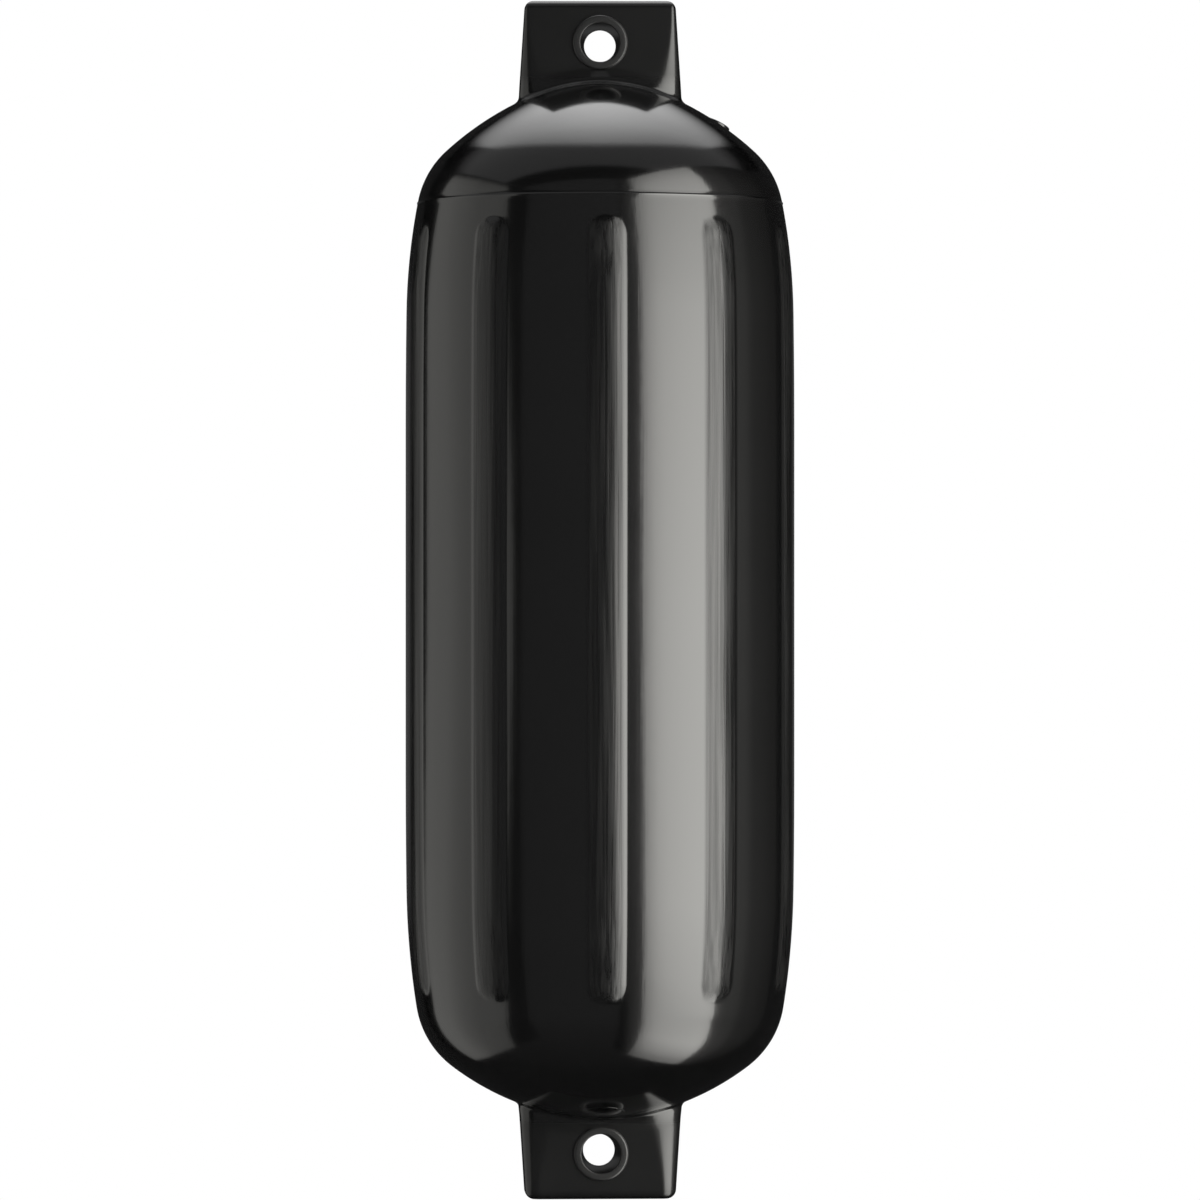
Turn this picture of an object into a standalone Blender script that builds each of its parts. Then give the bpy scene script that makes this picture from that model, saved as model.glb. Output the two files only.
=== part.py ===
"""Inflatable boat fender: one moulded vinyl body with an eye lug at each end, and its inflation valve.

The fender hangs from its upper eye, and the origin is the centre of that eye. +Z is up along the
body, the eyes' holes run along Y, and the front is -Y. All sizes are in metres.
"""
import math

import bmesh
import bpy
from mathutils import Matrix, Vector

# Body: a turned side, slightly barrelled, with a shoulder and a domed end at the top and the bottom
BODY_RADIUS = 0.1118
SIDE_HALF = 0.100            # half the length of the side's straight middle
BARREL_RADIUS = 4.70         # the long arc that follows the straight middle
BARREL_TURN = math.radians(0.8)

# Each end's arcs: the side closing in, the shoulder, and the dome; the crown's arc follows from them
TOP_SIDE_ARC, TOP_SIDE_TURN = 0.363, math.radians(11.0)
TOP_SHOULDER, TOP_SHOULDER_TURN = 0.0523, math.radians(47.5)
TOP_DOME, TOP_DOME_TURN = 0.177, math.radians(67.7)
BOTTOM_SIDE_ARC, BOTTOM_SIDE_TURN = 0.476, math.radians(9.0)
BOTTOM_SHOULDER, BOTTOM_SHOULDER_TURN = 0.0527, math.radians(52.6)
BOTTOM_DOME, BOTTOM_DOME_TURN = 0.154, math.radians(75.0)

# Parting bead of the mould, round the top of the side
PARTING_BELOW_SHOULDER = 0.0012
BEAD_HEIGHT = 0.0004
BEAD_HALF_WIDTH = 0.0007

# Ribs along the side: each shows as a shallow rounded bar with round ends
RIB_COUNT = 10
RIB_WIDTH = 0.0234
RIB_HEIGHT = 0.0026
RIB_TOP_BELOW_SHOULDER = 0.0130
RIB_BOTTOM_ABOVE_SHOULDER = 0.0072
RIB_TURN = math.radians(1.3)      # the front rib stands this far to the right of the front

# Eye lugs, one on each crown
LUG_TIP_HALF_WIDTH = 0.0432
LUG_FOOT_HALF_WIDTH = 0.0467
LUG_TIP_HALF_THICK = 0.0120
LUG_FOOT_HALF_THICK = 0.0165
UPPER_TIP_CORNER = (0.0050, 0.0050)   # oval round of the lug's upright edges: along its width, across it
LOWER_TIP_CORNER = (0.0100, 0.0080)
UPPER_FOOT_CORNER = (0.0220, 0.0110)  # the same at the foot, where the lug's face is crowned
LOWER_FOOT_CORNER = (0.0280, 0.0110)
SMALLEST_CORNER = 0.0005
LUG_EDGE_ROUND = 0.0055      # round of the edges of the lug's flat end
LUG_FILLET = 0.0032          # hollow round between the lug and the dome
LUG_FOOT_DROP = 0.008        # how far below the crown the lug's taper is measured to
LOWER_LUG_TWIST = math.radians(2.4)

# Eyes: a raised collar on both faces of each lug, and a hole that narrows from the front to the back
UPPER_EYE_ABOVE_CROWN = 0.0215
LOWER_EYE_ABOVE_CROWN = 0.0192
UPPER_EYE_TO_TIP = 0.0244
LOWER_EYE_TO_TIP = 0.0267
EYE_FRONT_RADIUS = 0.0112
EYE_BACK_RADIUS = 0.0091
EYE_MOUTH_ROUND = 0.0008
COLLAR_RADIUS = 0.0158
COLLAR_STAND = 0.0032        # how far the collar stands out of the lug's face at its tip
COLLAR_ROUND = 0.0016

# Inflation valve, in a low boss on the top dome, behind the right-hand side
VALVE_RADIUS = 0.0689        # distance of the boss from the body's axis
VALVE_BEHIND = math.radians(14.0)
VALVE_TILT = math.radians(27.0)
BOSS_RADIUS = 0.0080
BOSS_STAND = 0.0012
BOSS_DEPTH = 0.010
BOSS_CHAMFER = 0.0006
VALVE_HEAD_RADIUS = 0.0050
VALVE_HEAD_THICK = 0.0016
VALVE_STEM_RADIUS = 0.0032
VALVE_STEM_LENGTH = 0.0060
VALVE_PROUD = 0.0005
NEEDLE_HOLE_RADIUS = 0.0008
NEEDLE_HOLE_DEPTH = 0.0040
CLEARANCE = 0.0003

# Round moulding mark on the front of the bottom dome
MARK_RADIUS = 0.0125
MARK_FROM_AXIS = 0.040
MARK_STAND = 0.0003
MARK_SEAT = 0.004            # depth of the mark's solid under the dome
MARK_CHAMFER = 0.0004

# Fineness of the model
COLUMNS = 60                 # round the body, a multiple of the rib count
ROUND_STEPS = 28             # round a collar or an eye
SMALL_STEPS = 20             # round the valve, its boss and the mark
ROD_SIDES = 28


def clear_scene():
    for obj in list(bpy.data.objects):
        bpy.data.objects.remove(obj, do_unlink=True)


def end_arcs(side_arc, side_turn, shoulder, shoulder_turn, dome, dome_turn):
    """The arcs of one end as (centre_r, centre_z, radius, turn from, turn to), from the side to the axis."""
    r, z, turn = BODY_RADIUS, SIDE_HALF, 0.0
    arcs = []
    for radius, to in ((BARREL_RADIUS, BARREL_TURN), (side_arc, side_turn),
                       (shoulder, shoulder_turn), (dome, dome_turn)):
        cr, cz = r - radius * math.cos(turn), z - radius * math.sin(turn)
        arcs.append((cr, cz, radius, turn, to))
        r, z, turn = cr + radius * math.cos(to), cz + radius * math.sin(to), to
    crown = r / math.cos(turn)
    arcs.append((0.0, z - crown * math.sin(turn), crown, turn, math.pi / 2))
    return arcs


ARCS = {
    1: end_arcs(TOP_SIDE_ARC, TOP_SIDE_TURN, TOP_SHOULDER, TOP_SHOULDER_TURN,
                TOP_DOME, TOP_DOME_TURN),
    -1: end_arcs(BOTTOM_SIDE_ARC, BOTTOM_SIDE_TURN, BOTTOM_SHOULDER, BOTTOM_SHOULDER_TURN,
                 BOTTOM_DOME, BOTTOM_DOME_TURN),
}


def arc_point(arc, turn):
    return arc[0] + arc[2] * math.cos(turn), arc[1] + arc[2] * math.sin(turn)


def shoulder_height(end):
    """Height from the middle at which the side ends and the shoulder begins."""
    return arc_point(ARCS[end][1], ARCS[end][1][4])[1]


def crown_height(end):
    return ARCS[end][4][1] + ARCS[end][4][2]


def eye_height(end):
    """Height of an eye's centre from the middle, away from it."""
    return crown_height(end) + (UPPER_EYE_ABOVE_CROWN if end > 0 else LOWER_EYE_ABOVE_CROWN)


def tip_height(end):
    return eye_height(end) + (UPPER_EYE_TO_TIP if end > 0 else LOWER_EYE_TO_TIP)


def side_at(height):
    """Radius and outward slope of the side at a height from the body's middle."""
    end = 1 if height > 0 else -1
    z = abs(height)
    if z <= SIDE_HALF:
        return BODY_RADIUS, 0.0
    for cr, cz, radius, _, to in ARCS[end]:
        if z <= cz + radius * math.sin(to):
            turn = math.asin((z - cz) / radius)
            return cr + radius * math.cos(turn), end * turn
    return 0.0, end * math.pi / 2


def dome_height(end, r):
    """Height of the dome's surface at a distance from the axis, inside the shoulder."""
    for cr, cz, radius, start, _ in reversed(ARCS[end]):
        if r <= cr + radius * math.cos(start) + 1e-9:
            return cz + math.sqrt(max(radius ** 2 - (r - cr) ** 2, 0.0))
    return 0.0


def dome_slope(end, r):
    """Slope of the dome's surface down from the level, at a distance from the axis."""
    for cr, _, radius, start, _ in reversed(ARCS[end]):
        if r <= cr + radius * math.cos(start) + 1e-9:
            return math.asin((r - cr) / radius)
    return math.pi / 2


def side_profile():
    """The turned side as (r, z), from the top shoulder's end down to the bottom shoulder's end."""
    halves = {}
    for end in (1, -1):
        points = [(BODY_RADIUS, SIDE_HALF)]
        for arc, steps in zip(ARCS[end], (1, 4, 4)):
            points += [arc_point(arc, arc[3] + (arc[4] - arc[3]) * i / steps)
                       for i in range(1, steps + 1)]
        halves[end] = points
    bead = shoulder_height(1) - PARTING_BELOW_SHOULDER
    clear = 4 * BEAD_HALF_WIDTH
    top = [p for p in halves[1] if abs(p[1] - bead) > clear]
    for offset, stand in ((-BEAD_HALF_WIDTH, 0.0), (0.0, BEAD_HEIGHT), (BEAD_HALF_WIDTH, 0.0)):
        r, slope = side_at(bead + offset)
        top.append((r + stand * math.cos(slope), bead + offset + stand * math.sin(slope)))
    top.sort(key=lambda p: -p[1])
    return top + [(r, -z) for r, z in halves[-1]]


def turned(name, profile, steps, axis="Z"):
    """An object whose profile of (r, height) is turned about an axis by a Screw modifier."""
    bm = bmesh.new()
    if axis == "Z":
        verts = [bm.verts.new((r, 0, h)) for r, h in profile]
    else:
        verts = [bm.verts.new((r, h, 0)) for r, h in profile]
    for a, b in zip(verts, verts[1:]):
        bm.edges.new((a, b))
    mesh = bpy.data.meshes.new(name)
    bm.to_mesh(mesh)
    bm.free()
    obj = bpy.data.objects.new(name, mesh)
    bpy.context.scene.collection.objects.link(obj)
    screw = obj.modifiers.new("Turn", "SCREW")
    screw.axis = axis
    screw.steps = screw.render_steps = steps
    screw.use_merge_vertices = True
    screw.merge_threshold = 0.00001
    return obj


def made_mesh(obj, closed=True):
    """The object's shape with its modifiers applied, as a new object that takes its place."""
    bpy.context.view_layer.update()
    evaluated = obj.evaluated_get(bpy.context.evaluated_depsgraph_get())
    mesh = bpy.data.meshes.new_from_object(evaluated)
    bm = bmesh.new()
    bm.from_mesh(mesh)
    bm.transform(obj.matrix_world)
    bmesh.ops.remove_doubles(bm, verts=bm.verts, dist=0.00002)
    if closed:
        bmesh.ops.recalc_face_normals(bm, faces=bm.faces)
    bm.to_mesh(mesh)
    bm.free()
    name = obj.name
    bpy.data.objects.remove(obj, do_unlink=True)
    new = bpy.data.objects.new(name, mesh)
    bpy.context.scene.collection.objects.link(new)
    return new


def rounded_outline(half_x, half_y, corner_x, corner_y, count, turn=0.0):
    """Points spaced evenly round a rectangle with oval corners, from its +X side and anticlockwise."""
    fine = []
    for quarter, (sx, sy) in enumerate(((1, 1), (-1, 1), (-1, -1), (1, -1))):
        for i in range(25):
            a = (quarter + i / 24) * math.pi / 2
            fine.append(Vector((sx * (half_x - corner_x) + corner_x * math.cos(a),
                                sy * (half_y - corner_y) + corner_y * math.sin(a))))
    start = Vector((half_x, 0.0))
    path = [start] + fine + [start]
    lengths = [(q - p).length for p, q in zip(path, path[1:])]
    points, k, passed = [], 0, 0.0
    for i in range(count):
        s = sum(lengths) * i / count
        while s > passed + lengths[k]:
            passed += lengths[k]
            k += 1
        points.append(path[k].lerp(path[k + 1], (s - passed) / lengths[k]) if lengths[k] else path[k])
    spin = Matrix.Rotation(turn, 2)
    return [spin @ p for p in points]


def lug_section(end, height, inset=0.0):
    """Half width, half thickness and both corner rounds of a lug at a height, less an inset."""
    tip, foot = tip_height(end), crown_height(end) - LUG_FOOT_DROP
    s = min(max((tip - height) / (tip - foot), 0.0), 1.0)
    ease = s * s * (3 - 2 * s)
    corners = ((UPPER_TIP_CORNER, UPPER_FOOT_CORNER) if end > 0
               else (LOWER_TIP_CORNER, LOWER_FOOT_CORNER))
    return (LUG_TIP_HALF_WIDTH + (LUG_FOOT_HALF_WIDTH - LUG_TIP_HALF_WIDTH) * s - inset,
            LUG_TIP_HALF_THICK + (LUG_FOOT_HALF_THICK - LUG_TIP_HALF_THICK) * s ** 3 - inset,
            *(max(a + (b - a) * ease - inset, SMALLEST_CORNER) for a, b in zip(*corners)))


def lug_rings(end, rim_radius, twist):
    """The rings that carry a round rim over the dome, up the lug and onto its flat end."""
    foot = lug_section(end, 0.0)
    tip = tip_height(end)
    wall = rounded_outline(*foot, COLUMNS, twist)
    flare = rounded_outline(*(s + LUG_FILLET for s in foot), COLUMNS, twist)
    rim = [Vector((math.cos(a), math.sin(a))) * rim_radius
           for a in (2 * math.pi * i / COLUMNS for i in range(COLUMNS))]
    rings = []
    for t in (0.25, 0.5, 0.75, 1.0):
        plan = [a.lerp(b, t) for a, b in zip(rim, flare)]
        rings.append([(p.x, p.y, dome_height(end, p.length)) for p in plan])
    # the hollow round: from the dome, round the corner under the wall, and up the wall
    for t in (0.35, 0.68, 1.0):
        ring = []
        for out, on in zip(flare, wall):
            low = Vector((out.x, out.y, dome_height(end, out.length)))
            corner = Vector((on.x, on.y, dome_height(end, on.length)))
            high = corner + Vector((0, 0, LUG_FILLET))
            ring.append((1 - t) ** 2 * low + 2 * t * (1 - t) * corner + t ** 2 * high)
        rings.append(ring)
    # the wall, whose outline narrows towards the tip
    start = [p[2] for p in rings[-1]]
    for t in (0.45, 1.0):
        ring = []
        for i in range(COLUMNS):
            z = start[i] + (tip - LUG_EDGE_ROUND - start[i]) * t
            p = rounded_outline(*lug_section(end, z), COLUMNS, twist)[i]
            ring.append((p.x, p.y, z))
        rings.append(ring)
    # the round edge of the flat end
    for turn in (math.radians(30), math.radians(60), math.radians(90)):
        inset = LUG_EDGE_ROUND * (1 - math.cos(turn))
        z = tip - LUG_EDGE_ROUND * (1 - math.sin(turn))
        outline = rounded_outline(*lug_section(end, tip - LUG_EDGE_ROUND, inset), COLUMNS, twist)
        rings.append([(p.x, p.y, z) for p in outline])
    return rings


def bladder():
    """The turned side with a lofted dome and lug at each end, as one closed skin."""
    side = made_mesh(turned("fender_body", side_profile(), COLUMNS), closed=False)
    bm = bmesh.new()
    bm.from_mesh(side.data)
    for end, twist in ((1, 0.0), (-1, LOWER_LUG_TWIST)):
        rim = [v for v in bm.verts if v.is_boundary and v.co.z * end > 0]
        rim.sort(key=lambda v: math.atan2(v.co.y, v.co.x) % (2 * math.pi - 1e-4))
        ring = rim
        rim_radius = ring[0].co.xy.length
        for points in lug_rings(end, rim_radius, twist):
            above = [bm.verts.new((p[0], p[1], p[2] * end)) for p in points]
            for i in range(COLUMNS):
                j = (i + 1) % COLUMNS
                bm.faces.new((ring[i], ring[j], above[j], above[i]))
            ring = above
        bm.faces.new(ring)
    bmesh.ops.recalc_face_normals(bm, faces=bm.faces)
    bm.to_mesh(side.data)
    bm.free()
    return side


def rib_rod(index):
    """A round rod, sunk in the side so that only a shallow bar stands out, with rounded ends."""
    bow = BODY_RADIUS - math.sqrt(BODY_RADIUS ** 2 - (RIB_WIDTH / 2) ** 2)
    rise = RIB_HEIGHT + bow
    rod_radius = ((RIB_WIDTH / 2) ** 2 + rise ** 2) / (2 * rise)
    top = shoulder_height(1) - RIB_TOP_BELOW_SHOULDER - RIB_WIDTH / 2
    bottom = -shoulder_height(-1) + RIB_BOTTOM_ABOVE_SHOULDER + RIB_WIDTH / 2

    def centre(height):
        r, slope = side_at(height)
        sunk = RIB_HEIGHT - rod_radius
        return Vector((r + sunk * math.cos(slope), 0, height + sunk * math.sin(slope)))

    def along(height):
        slope = side_at(height)[1]
        return Vector((-math.sin(slope), 0, math.cos(slope)))

    stops = [top, (top + SIDE_HALF * 1.6) / 2, SIDE_HALF * 1.6, SIDE_HALF, -SIDE_HALF,
             -SIDE_HALF * 1.6, (bottom - SIDE_HALF * 1.6) / 2, bottom]
    points = [(centre(h), 1.0) for h in stops]
    for turn in (13, 26, 39):
        a = math.radians(turn)
        reach = rod_radius * math.sin(a)
        points.insert(0, (centre(top) + along(top) * reach, math.cos(a)))
        points.append((centre(bottom) - along(bottom) * reach, math.cos(a)))

    curve = bpy.data.curves.new(f"rib {index + 1}", "CURVE")
    curve.dimensions = "3D"
    curve.bevel_depth = rod_radius
    curve.bevel_resolution = (ROD_SIDES - 4) // 2
    curve.use_fill_caps = True
    spline = curve.splines.new("POLY")
    spline.points.add(len(points) - 1)
    for p, (co, scale) in zip(spline.points, points):
        p.co = (*co, 1)
        p.radius = scale
    obj = bpy.data.objects.new(f"rib {index + 1}", curve)
    bpy.context.scene.collection.objects.link(obj)
    # the front rib faces nearly -Y, and the others follow round the body
    obj.rotation_euler.z = -math.pi / 2 + RIB_TURN + index * 2 * math.pi / RIB_COUNT
    return made_mesh(obj)


def eye_frame(end, twist):
    return (Matrix.Rotation(twist, 4, "Z")
            @ Matrix.Translation((0, 0, end * eye_height(end))))


def collar(end, twist):
    """The raised ring round an eye, through the lug from face to face."""
    face = LUG_TIP_HALF_THICK + COLLAR_STAND
    edge = [(COLLAR_RADIUS - COLLAR_ROUND * (1 - math.sin(a)), face - COLLAR_ROUND * (1 - math.cos(a)))
            for a in (math.radians(d) for d in (0, 30, 60, 90))]
    profile = [(0, face)] + edge + [(r, -y) for r, y in reversed(edge)] + [(0, -face)]
    ring = turned(f"collar {end}", profile, ROUND_STEPS, "Y")
    ring.matrix_world = eye_frame(end, twist)
    return made_mesh(ring)


def eye_cutter(end, twist):
    """The hole's shape: it narrows all the way from its front mouth to the face behind."""
    face, ease = LUG_TIP_HALF_THICK + COLLAR_STAND, EYE_MOUTH_ROUND
    front, back = EYE_FRONT_RADIUS, EYE_BACK_RADIUS
    profile = [(0, face + 0.004), (back + 1.3 * ease, face + 0.004), (back + 1.3 * ease, face + 0.3 * ease),
               (back, face - ease), (front, ease - face),
               (front + 1.3 * ease, -face - 0.3 * ease), (front + 1.3 * ease, -face - 0.004),
               (0, -face - 0.004)]
    cut = turned(f"eye {end}", profile, ROUND_STEPS, "Y")
    cut.matrix_world = eye_frame(end, twist)
    return made_mesh(cut)


def on_dome(end, from_axis, turn, tilt, stand):
    """A frame on a dome: its origin on the surface plus a stand, its Z leaning outwards by the tilt."""
    place = Matrix.Rotation(turn, 4, "Z") @ Matrix.Translation((from_axis, 0, end * dome_height(end, from_axis)))
    lean = Matrix.Rotation(tilt if end > 0 else math.pi - tilt, 4, "Y")
    return place @ lean @ Matrix.Translation((0, 0, stand))


def disc(name, radius, depth, chamfer, frame):
    profile = [(0, 0), (radius - chamfer, 0), (radius, -chamfer), (radius, -depth), (0, -depth)]
    obj = turned(name, profile, SMALL_STEPS)
    obj.matrix_world = frame
    return made_mesh(obj)


def valve_frame():
    return on_dome(1, VALVE_RADIUS, VALVE_BEHIND, VALVE_TILT, BOSS_STAND)


def valve():
    """A soft rubber needle valve: a flat head and a stem, with a hole for the pump's needle."""
    head = VALVE_PROUD
    under = VALVE_PROUD - VALVE_HEAD_THICK
    tip = under - VALVE_STEM_LENGTH
    profile = [(0, head - NEEDLE_HOLE_DEPTH), (NEEDLE_HOLE_RADIUS, head - NEEDLE_HOLE_DEPTH),
               (NEEDLE_HOLE_RADIUS, head - 0.0004), (NEEDLE_HOLE_RADIUS + 0.0005, head),
               (VALVE_HEAD_RADIUS - 0.0004, head), (VALVE_HEAD_RADIUS, head - 0.0004),
               (VALVE_HEAD_RADIUS, under), (VALVE_STEM_RADIUS, under),
               (VALVE_STEM_RADIUS, tip + 0.0008), (VALVE_STEM_RADIUS - 0.0008, tip), (0, tip)]
    obj = turned("inflation_valve", profile, SMALL_STEPS)
    obj.matrix_world = valve_frame()
    return made_mesh(obj)


def valve_seat():
    """The seat in the boss: the valve's own head and stem with clearance all round."""
    under = VALVE_PROUD - VALVE_HEAD_THICK - CLEARANCE
    tip = VALVE_PROUD - VALVE_HEAD_THICK - VALVE_STEM_LENGTH - CLEARANCE
    head, stem = VALVE_HEAD_RADIUS + CLEARANCE, VALVE_STEM_RADIUS + CLEARANCE
    profile = [(0, 0.003), (head, 0.003), (head, under), (stem, under), (stem, tip), (0, tip)]
    obj = turned("valve seat", profile, SMALL_STEPS)
    obj.matrix_world = valve_frame()
    return made_mesh(obj)


def collection(name, objects, guide=False):
    group = bpy.data.collections.new(name)
    bpy.context.scene.collection.children.link(group)
    for obj in objects:
        for old in list(obj.users_collection):
            old.objects.unlink(obj)
        group.objects.link(obj)
        if guide:
            obj.hide_render = True
            obj.display_type = "WIRE"
    return group


def finish(obj, name, colour, roughness, sharp):
    mat = bpy.data.materials.new(name)
    mat.use_nodes = True
    shader = mat.node_tree.nodes["Principled BSDF"]
    shader.inputs["Base Color"].default_value = (*colour, 1)
    shader.inputs["Roughness"].default_value = roughness
    shader.inputs["Metallic"].default_value = 0.0
    obj.data.materials.clear()
    obj.data.materials.append(mat)
    obj.data.shade_smooth()
    obj.data.set_sharp_from_angle(angle=math.radians(sharp))


def boolean(obj, name, operation, group):
    mod = obj.modifiers.new(name, "BOOLEAN")
    mod.operation = operation
    mod.operand_type = "COLLECTION"
    mod.collection = group
    mod.solver = "EXACT"


clear_scene()

body = bladder()
twists = {1: 0.0, -1: LOWER_LUG_TWIST}
ribs = [rib_rod(i) for i in range(RIB_COUNT)]
collars = [collar(end, twists[end]) for end in (1, -1)]
eyes = [eye_cutter(end, twists[end]) for end in (1, -1)]
boss = disc("valve boss", BOSS_RADIUS, BOSS_DEPTH, BOSS_CHAMFER, valve_frame())
mark = disc("moulding mark", MARK_RADIUS, MARK_SEAT + MARK_STAND, MARK_CHAMFER,
            on_dome(-1, MARK_FROM_AXIS, LOWER_LUG_TWIST - math.pi / 2, dome_slope(-1, MARK_FROM_AXIS), MARK_STAND))
plug = valve()

raised = collection("raised forms", ribs + collars + [boss, mark], guide=True)
hollows = collection("hollows", eyes + [valve_seat()], guide=True)
boolean(body, "Raised forms", "UNION", raised)
boolean(body, "Hollows", "DIFFERENCE", hollows)
body = made_mesh(body)

collection("boat fender", [body, plug])
finish(body, "gloss black vinyl", (0.008, 0.008, 0.009), 0.16, 17)
finish(plug, "black rubber", (0.012, 0.012, 0.012), 0.55, 30)

# everything was made about the middle of the body, and hangs below the centre of the upper eye
hang = bpy.data.objects.new("upper eye", None)
bpy.context.scene.collection.objects.link(hang)
hang.location.z = -eye_height(1)
for obj in (body, plug):
    obj.parent = hang
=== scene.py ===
# %% [markdown]
# # A boat fender, dressed on its fixed frame
#
# The object is an inflatable boat fender: a black vinyl bladder about 69 cm long, moulded in one piece
# with an eye lug at each end, and a small rubber valve to pump it up. It hangs from its upper eye, and
# the origin is the centre of that eye. +Z is up along the body, and the front is -Y.
#
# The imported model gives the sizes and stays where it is. This lesson makes a finer skin over it, gives
# that skin the finish of glossy vinyl, and lights it as a studio lights a black, shiny thing.

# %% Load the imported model
import math

import bmesh
import bpy
from mathutils import Matrix, Vector


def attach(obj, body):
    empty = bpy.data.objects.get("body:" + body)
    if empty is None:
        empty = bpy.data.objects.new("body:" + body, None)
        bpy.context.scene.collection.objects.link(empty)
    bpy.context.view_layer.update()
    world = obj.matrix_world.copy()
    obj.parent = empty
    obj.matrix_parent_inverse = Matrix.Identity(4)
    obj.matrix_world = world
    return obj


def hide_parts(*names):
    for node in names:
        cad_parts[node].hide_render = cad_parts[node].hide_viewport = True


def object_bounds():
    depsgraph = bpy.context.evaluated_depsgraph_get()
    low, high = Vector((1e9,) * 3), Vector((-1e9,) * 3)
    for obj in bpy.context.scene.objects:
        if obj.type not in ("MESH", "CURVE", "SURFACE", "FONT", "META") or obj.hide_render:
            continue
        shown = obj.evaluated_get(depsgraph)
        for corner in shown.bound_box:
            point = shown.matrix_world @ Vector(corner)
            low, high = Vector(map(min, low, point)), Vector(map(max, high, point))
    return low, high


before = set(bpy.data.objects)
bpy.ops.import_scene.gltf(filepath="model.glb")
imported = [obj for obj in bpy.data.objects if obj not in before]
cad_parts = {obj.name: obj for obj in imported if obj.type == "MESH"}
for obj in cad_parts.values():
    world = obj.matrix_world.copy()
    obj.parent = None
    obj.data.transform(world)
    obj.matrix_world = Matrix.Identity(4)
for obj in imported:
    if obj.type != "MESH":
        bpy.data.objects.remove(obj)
cad_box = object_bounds()
print("CAD nodes:", ", ".join(sorted(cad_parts)))
print("CAD box in mm:", [[round(1000 * x, 1) for x in corner] for corner in cad_box])

# %% [markdown]
# ## The camera
#
# The photo looks level at the middle of the fender, from about 4 m, so both ends are seen almost
# straight on. The camera stands 0.4 degrees to the left, as the eyes' holes show. A long lens at that
# distance gives the photo's frame, 690 mm wide at the fender.

# %% Camera
middle = Vector((0, 0, (cad_box[0].z + cad_box[1].z) / 2))
CAMERA_DISTANCE = 4.0
CAMERA_TURN = math.radians(-0.4)
FRAME_WIDTH = 0.6905


def around(turn, distance, height=0.0):
    """A place round the fender: turn 0 is the front, and a quarter turn the right-hand side."""
    return middle + Vector((distance * math.sin(turn), -distance * math.cos(turn), height))


camera = bpy.data.objects.new("camera", bpy.data.cameras.new("camera"))
bpy.context.scene.collection.objects.link(camera)
camera.location = around(CAMERA_TURN, CAMERA_DISTANCE)
camera.rotation_euler = (math.pi / 2, 0, CAMERA_TURN)
camera.data.sensor_width = 36
camera.data.lens = 36 * CAMERA_DISTANCE / FRAME_WIDTH
bpy.context.scene.camera = camera
print(f"camera lens {camera.data.lens:.1f} mm at {tuple(round(x, 3) for x in camera.location)}")

# %% [markdown]
# ## The body's outline
#
# Seen from the side, the bladder is a chain of arcs that run into each other without a corner: a straight
# middle, a long arc that closes in, a tight shoulder, a dome and a crown. Each arc is given by its radius
# and by how far the outline has turned at its end, which is how a drawing of a turned form gives it.

# %% Arcs of the outline
BODY_RADIUS = 0.1118
SIDE_HALF = 0.100
BARREL = (4.70, math.radians(0.8))
END_ARCS = {
    1: (BARREL, (0.363, math.radians(11.0)), (0.0523, math.radians(47.5)), (0.177, math.radians(67.7))),
    -1: (BARREL, (0.476, math.radians(9.0)), (0.0527, math.radians(52.6)), (0.154, math.radians(75.0))),
}


def chain_of_arcs(end):
    """The arcs from the side to the axis, each as (centre r, centre height, radius, turn from, turn to)."""
    r, h, turn = BODY_RADIUS, SIDE_HALF, 0.0
    chain = []
    for radius, to in END_ARCS[end]:
        centre_r, centre_h = r - radius * math.cos(turn), h - radius * math.sin(turn)
        chain.append((centre_r, centre_h, radius, turn, to))
        r, h, turn = centre_r + radius * math.cos(to), centre_h + radius * math.sin(to), to
    crown = r / math.cos(turn)
    chain.append((0.0, h - crown * math.sin(turn), crown, turn, math.pi / 2))
    return chain


ARCS = {end: chain_of_arcs(end) for end in (1, -1)}


def arc_point(arc, turn):
    return arc[0] + arc[2] * math.cos(turn), arc[1] + arc[2] * math.sin(turn)


def side_radius(height):
    """Radius of the body's side at a height above its middle."""
    end = 1 if height > 0 else -1
    if abs(height) <= SIDE_HALF:
        return BODY_RADIUS
    for centre_r, centre_h, radius, _, to in ARCS[end]:
        if abs(height) <= centre_h + radius * math.sin(to) + 1e-9:
            return centre_r + math.sqrt(radius ** 2 - (abs(height) - centre_h) ** 2)
    return 0.0


def dome_height(end, r):
    """Height of the dome above the middle at a distance from the axis, inside the shoulder."""
    for centre_r, centre_h, radius, turn, _ in reversed(ARCS[end]):
        if r <= centre_r + radius * math.cos(turn) + 1e-9:
            return centre_h + math.sqrt(max(radius ** 2 - (r - centre_r) ** 2, 0.0))
    return 0.0


def dome_tilt(end, r):
    """How far the dome leans from level at a distance from the axis, inside the shoulder."""
    for centre_r, _, radius, turn, _ in reversed(ARCS[end]):
        if r <= centre_r + radius * math.cos(turn) + 1e-9:
            return math.asin((r - centre_r) / radius)
    return math.pi / 2


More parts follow.
